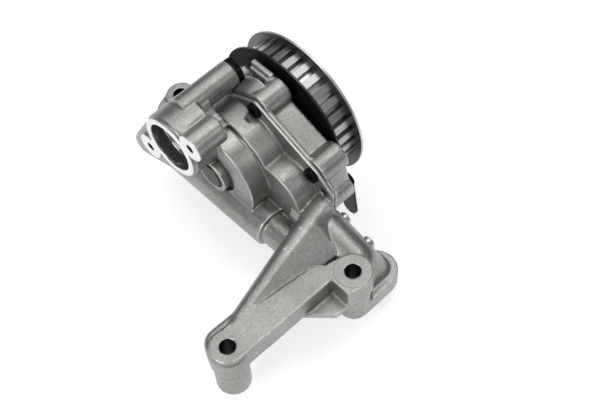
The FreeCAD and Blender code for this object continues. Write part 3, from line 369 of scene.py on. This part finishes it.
SLOT_MATERIALS = {
    "cast_aluminium": cast_metal("cast_aluminium"),
    "machined_aluminium": smooth_metal("machined_aluminium", (0.83, 0.84, 0.87), 0.42, metallic=0.55),
    "ground_steel": smooth_metal("ground_steel", (0.05, 0.045, 0.04), 0.42, metallic=0.7),
    "sintered_steel": smooth_metal("sintered_steel", (0.28, 0.28, 0.29), 0.45),
    "bright_steel": smooth_metal("bright_steel", (0.42, 0.42, 0.41), 0.30, stretch=(0.05, 1.0, 1.0),
                                 spread=0.03, depth=0.000003),
    # The rim colours of the two flange materials below are painted highlights
    "blackened_steel": smooth_metal("blackened_steel", grey(0.008), 0.32, metallic=0.0, spread=0.04,
                                    depth=0.000002, specular=0.02, rim_highlight=(0.05, 0.05, 0.048)),
    "dark_steel": smooth_metal("dark_steel", (0.14, 0.137, 0.132), 0.34, metallic=0.9,
                               rim_highlight=(0.50, 0.50, 0.49), sheet=grey(0.006)),
    "bronze": smooth_metal("bronze", (0.34, 0.26, 0.16), 0.35),
    "copper": smooth_metal("copper", (0.04, 0.032, 0.027), 0.45),
}
for entry in frame["record"]["subparts"]:
    node = frame["nodes"][entry["node"]]
    node.data.materials.clear()
    node.data.materials.append(SLOT_MATERIALS[entry["material_slot"]])


# Cast pieces: the drawn solid with the soft edges and fillets of a sand casting
ROD_SIDES = 64
VOXEL = 0.0006
SOFTENING = 0.5
SOFTENING_PASSES = 3
SKIN_FACES = 190000


def evaluated_mesh(piece):
    """A mesh of the piece with its modifiers applied."""
    bpy.context.view_layer.update()
    return bpy.data.meshes.new_from_object(piece.evaluated_get(bpy.context.evaluated_depsgraph_get()))


def cast_rod(name, rear, front, place, radius):
    """A round rod along x from rear to front, with its axis at place (y, z)."""
    start = Vector((rear, *place))
    end = Vector((front, *place))
    axis = end - start
    data = bpy.data.meshes.new(name)
    form = bmesh.new()
    bmesh.ops.create_cone(form, cap_ends=True, segments=ROD_SIDES, radius1=radius, radius2=radius,
                          depth=axis.length)
    form.to_mesh(data)
    form.free()
    turn = axis.to_track_quat("Z", "Y").to_matrix().to_4x4()
    data.transform(Matrix.Translation((start + end) / 2) @ turn)
    return data


def without(data, removed):
    """The mesh less the removed form."""
    piece = bpy.data.objects.new("whole", data)
    tool = bpy.data.objects.new("removed", removed)
    bpy.context.collection.objects.link(piece)
    bpy.context.collection.objects.link(tool)
    less = piece.modifiers.new("less", "BOOLEAN")
    less.operation = "DIFFERENCE"
    less.solver = "EXACT"
    less.object = tool
    result = evaluated_mesh(piece)
    bpy.data.objects.remove(piece)
    bpy.data.objects.remove(tool)
    return result


def cast_skin(name, source_name, added=(), removed=()):
    """Replaces a drawn casting by one soft closed skin, less the removed forms and with the added ones."""
    start = frame["nodes"][source_name].data.copy()
    for less in removed:
        start = without(start, less)
    form = bmesh.new()
    form.from_mesh(start)
    for extra in added:
        form.from_mesh(extra)
    data = bpy.data.meshes.new(name)
    form.to_mesh(data)
    form.free()
    piece = bpy.data.objects.new(name, data)
    bpy.context.collection.objects.link(piece)
    remesh = piece.modifiers.new("even_mesh", "REMESH")
    remesh.mode = "VOXEL"
    remesh.voxel_size = VOXEL
    soften = piece.modifiers.new("soft_edges", "SMOOTH")
    soften.factor = SOFTENING
    soften.iterations = SOFTENING_PASSES
    piece.data = evaluated_mesh(piece)
    piece.modifiers.clear()
    triangles = 2 * len(piece.data.polygons)
    if triangles > SKIN_FACES:
        thin = piece.modifiers.new("fewer_faces", "DECIMATE")
        thin.ratio = SKIN_FACES / triangles
        piece.data = evaluated_mesh(piece)
        piece.modifiers.clear()
    piece.data.polygons.foreach_set("use_smooth", [True] * len(piece.data.polygons))
    piece.data.materials.clear()
    piece.data.materials.append(SLOT_MATERIALS["cast_aluminium"])
    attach(piece, "housing")
    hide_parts(source_name)


# The long boss behind the upper ear
EAR_SET_BACK = 0.0022
EAR_BOSS_RADIUS = 0.0081
EAR_BOSS_REAR = PORT_FACE_X + EAR_SET_BACK
EAR_BOSS_FRONT = 0.0690
ear_boss = cast_rod("ear_boss", EAR_BOSS_REAR, EAR_BOSS_FRONT, EAR_HOLES[0], EAR_BOSS_RADIUS)

# What the casting lacks round that boss: two round hollows in front of it, each with its own axis
# and radius, and a groove between it and the port tube, cut by equal rods along the tube's wall
HOLLOW_REAR = 0.0713
HOLLOW_FRONT = 0.0789
HOLLOWS = (((0.0850, 0.0798), 0.0080), ((0.0790, 0.0750), 0.0060))
TUBE_RADIUS = 0.0195
GROOVE_RADIUS = 0.0045
GROOVE_REAR = 0.0536
GROOVE_DEGREES = range(100, 133, 8)
reach = TUBE_RADIUS + GROOVE_RADIUS
hollows = []
for place, radius in HOLLOWS:
    hollows.append(cast_rod("behind_ear", HOLLOW_REAR, HOLLOW_FRONT, place, radius))
for degrees in GROOVE_DEGREES:
    place = (PORT_CENTRE[0] + reach * math.cos(math.radians(degrees)),
             PORT_CENTRE[1] + reach * math.sin(math.radians(degrees)))
    hollows.append(cast_rod("beside_ear", GROOVE_REAR, HOLLOW_FRONT, place, GROOVE_RADIUS))

cast_skin("housing_casting", "pump_housing", [ear_boss], hollows)
cast_skin("cover_casting", "front_cover")


# Small pieces shown in another shape than they are drawn
def stand_in(name, source_name):
    """A copy of a drawn housing piece, shown in its place."""
    source = frame["nodes"][source_name]
    piece = bpy.data.objects.new(name, source.data.copy())
    bpy.context.collection.objects.link(piece)
    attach(piece, "housing")
    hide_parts(source_name)
    return piece


# The relief spring, which shortens towards its plug as the piston slides, copied here with a mesh of its own
coil = stand_in("relief_coil", "relief_spring")
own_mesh(coil)

# Gallery plugs, driven in until a short stub is left
PLUGS_DRIVEN_IN = {"gallery_plug_1": 0.0025, "gallery_plug_2": 0.0045}
for node_name, depth in PLUGS_DRIVEN_IN.items():
    stub = stand_in(node_name + "_stub", node_name)
    middle = sum(vertex.co.x for vertex in stub.data.vertices) / len(stub.data.vertices)
    for vertex in stub.data.vertices:
        if vertex.co.x > middle:
            vertex.co.x -= depth

# The belt guard tab, with its free end drawn in along its own length, whose direction is (y, z)
TAB_END_RADIUS = 0.0048
TAB_SHORTER = 0.0045
TAB_DIRECTION = (0.19, 0.98)
tab = stand_in("short_tab", "belt_guard_tab")
low_end = min(vertex.co.z for vertex in tab.data.vertices)
for vertex in tab.data.vertices:
    if vertex.co.z < low_end + 2 * TAB_END_RADIUS:
        vertex.co.y += TAB_SHORTER * TAB_DIRECTION[0]
        vertex.co.z += TAB_SHORTER * TAB_DIRECTION[1]


# Studio
FLOOR_REACH = 3.0
FLOOR_GREY = 0.6
FLOOR_GLOW = 0.61
AMBIENT = 0.18

# Square lamps: place from the middle of the part, edge length, and power in watts
LAMPS = {
    "key": ((0.29, 0.51, 1.44), 1.44, 9.6),
    "left": ((-1.34, -0.20, 0.86), 0.9, 13.5),
    "top": ((0.52, -0.15, 1.40), 0.5, 3.0),
    "right": ((0.15, -1.12, 0.98), 0.6, 3.8),
}


def floor_material():
    """Pale grey to the soft light, with a glow that makes it white to the camera, mirrors and glass."""
    mat = bpy.data.materials.new("floor_white")
    mat.use_nodes = True
    tree = mat.node_tree
    tree.nodes.clear()
    out = tree.nodes.new("ShaderNodeOutputMaterial")
    diffuse = tree.nodes.new("ShaderNodeBsdfDiffuse")
    diffuse.inputs["Color"].default_value = (*grey(FLOOR_GREY), 1.0)
    glow = tree.nodes.new("ShaderNodeEmission")
    glow.inputs["Color"].default_value = (*grey(1.0), 1.0)
    glow.inputs["Strength"].default_value = FLOOR_GLOW
    both = tree.nodes.new("ShaderNodeAddShader")
    tree.links.new(diffuse.outputs["BSDF"], both.inputs[0])
    tree.links.new(glow.outputs["Emission"], both.inputs[1])
    path = tree.nodes.new("ShaderNodeLightPath")
    seen = math_node(tree, "MAXIMUM", path.outputs["Is Camera Ray"], path.outputs["Is Glossy Ray"])
    seen = math_node(tree, "MAXIMUM", seen, path.outputs["Is Transmission Ray"])
    mix = tree.nodes.new("ShaderNodeMixShader")
    tree.links.new(seen, mix.inputs[0])
    tree.links.new(diffuse.outputs["BSDF"], mix.inputs[1])
    tree.links.new(both.outputs["Shader"], mix.inputs[2])
    tree.links.new(mix.outputs["Shader"], out.inputs["Surface"])
    return mat


def square_floor(reach, height):
    """A level square round the origin, reach metres each way."""
    mesh = bpy.data.meshes.new("floor")
    sides = ((-reach, -reach), (reach, -reach), (reach, reach), (-reach, reach))
    mesh.from_pydata([(x, y, height) for x, y in sides], [], [(0, 1, 2, 3)])
    mesh.materials.append(floor_material())
    floor = bpy.data.objects.new("floor", mesh)
    bpy.context.collection.objects.link(floor)
    return floor


def square_lamp(name, offset, size, power):
    """A white square lamp, aimed at the middle of the part."""
    data = bpy.data.lights.new(name, "AREA")
    data.shape = "SQUARE"
    data.size = size
    data.energy = power
    lamp = bpy.data.objects.new(name, data)
    place = CENTRE + Vector(offset)
    lamp.location = place
    lamp.rotation_mode = "QUATERNION"
    lamp.rotation_quaternion = (CENTRE - place).to_track_quat("-Z", "Y")
    bpy.context.collection.objects.link(lamp)


floor = square_floor(FLOOR_REACH, FLOOR_Z)
for name, (offset, size, power) in LAMPS.items():
    square_lamp(name, offset, size, power)

world = bpy.data.worlds.new("studio")
bpy.context.scene.world = world
world.use_nodes = True
background = world.node_tree.nodes["Background"]
background.inputs["Color"].default_value = (*grey(1.0), 1.0)
background.inputs["Strength"].default_value = AMBIENT

# Camera
camera_data = bpy.data.cameras.new("camera")
camera_data.lens = LENS_MM
camera_data.sensor_width = SENSOR_MM
camera_data.clip_start = 0.02
camera_data.clip_end = 20.0
camera = bpy.data.objects.new("camera", camera_data)
axes = Matrix((CAMERA_RIGHT, -CAMERA_DOWN, -CAMERA_FORWARD)).transposed()
camera.matrix_world = Matrix.Translation(CAMERA_AT) @ axes.to_4x4()
bpy.context.collection.objects.link(camera)
bpy.context.scene.camera = camera
bpy.context.scene.view_settings.view_transform = "Standard"
